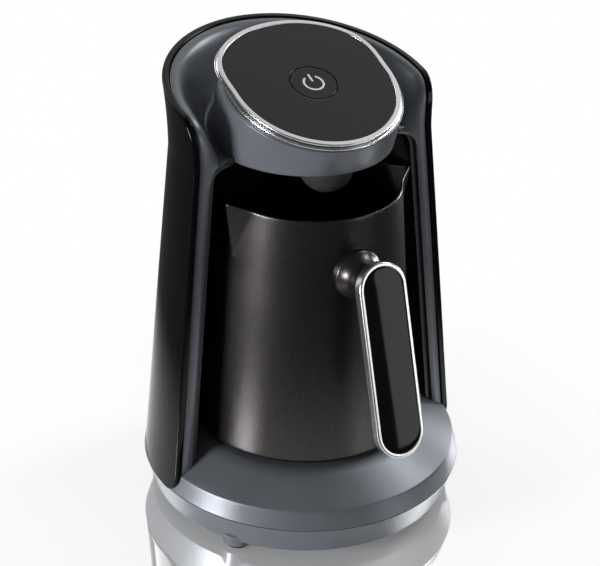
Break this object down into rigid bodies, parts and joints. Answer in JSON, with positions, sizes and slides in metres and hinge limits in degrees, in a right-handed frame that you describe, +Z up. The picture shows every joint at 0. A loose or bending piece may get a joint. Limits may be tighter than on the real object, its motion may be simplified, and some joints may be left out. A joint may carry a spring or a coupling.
{
  "type": "electric turkish coffee maker",
  "caption": "Electric Turkish coffee maker: round heated base, wrap-around cape, tilted head with a push button, and a pull-out pot with a side-on grip.",
  "frame": {"origin": "on the table, at the centre of the footprint from the grip's foot to the back of the base", "axes": "+Z up, -Y towards the user (the grip's side), +X to the right as seen looking along +Y"},
  "size_m": [0.1576, 0.1718, 0.227],
  "materials": {
    "base_grey": "satin slate-grey plastic",
    "foot_rubber": "soft black rubber",
    "screw_steel": "zinc-plated steel",
    "gland_rubber": "black rubber",
    "board_green": "glass-fibre board with green mask",
    "relay_blue": "blue moulded case",
    "capacitor_sleeve": "shrunk sleeve",
    "terminal_green": "green moulded case",
    "plate_metal": "coated aluminium",
    "seal_silicone": "black silicone",
    "element_metal": "heat-tinted steel tube",
    "sensor_metal": "plain metal can",
    "fuse_ceramic": "ceramic body",
    "wire_sleeve": "glass-braid sleeve",
    "cape_gloss": "polished black plastic",
    "frame_grey": "satin slate-grey plastic",
    "liner_black": "matte black plastic",
    "harness_black": "black cable sleeve",
    "dome_smoke": "smoked clear plastic",
    "bright_chrome": "polished chrome",
    "panel_gloss": "polished dark panel",
    "guide_plastic": "plain dark plastic",
    "plunger_white": "white plastic",
    "switch_black": "black plastic",
    "led_white": "white chip",
    "pot_metal": "anthracite metallic coat",
    "grip_black": "black plastic",
    "insert_gloss": "polished black plastic"
  },
  "bodies": {
    "machine": {"base_lower_shell": "base_grey", "base_upper_shell": "base_grey", "rubber_feet": "foot_rubber", "base_screws": "screw_steel", "cord_gland": "gland_rubber", "power_board": "board_green", "board_relay": "relay_blue", "board_capacitor": "capacitor_sleeve", "terminal_block": "terminal_green", "board_screws": "screw_steel", "heating_plate": "plate_metal", "plate_seal": "seal_silicone", "plate_retainer": "screw_steel", "plate_nuts": "screw_steel", "heating_element": "element_metal", "plate_sensor": "sensor_metal", "thermal_fuse": "fuse_ceramic", "heater_leads": "wire_sleeve", "outer_cape": "cape_gloss", "inner_frame": "frame_grey", "niche_liner": "liner_black", "frame_screws": "screw_steel", "head_harness": "harness_black", "head_drum": "frame_grey", "head_underside": "liner_black", "sensor_dome": "dome_smoke", "sensor_board": "board_green", "sensor_can": "sensor_metal", "cover_screws": "screw_steel", "chrome_ring": "bright_chrome", "top_panel": "panel_gloss", "button_guide": "guide_plastic", "switch_body": "switch_black", "control_board": "board_green", "indicator_led": "led_white", "buzzer": "switch_black", "control_screws": "screw_steel"},
    "button": {"power_button": "panel_gloss", "switch_plunger": "plunger_white"},
    "pot": {"pot_body": "pot_metal", "handle_stem": "pot_metal", "handle_core": "grip_black", "handle_frame": "bright_chrome", "handle_insert": "insert_gloss", "handle_screw": "screw_steel"}
  },
  "joints": [
    {"name": "power_button", "type": "slide", "parent": "machine", "child": "button", "axis": [0, 0.3338, -0.9426], "range_m": [0, 0.0012], "stiffness_N_per_m": 1500, "springref_m": -0.0004},
    {"name": "pot_slide", "type": "slide", "parent": "machine", "child": "pot", "axis": [0, -1, 0], "range_m": [0, 0.14]}
  ]
}
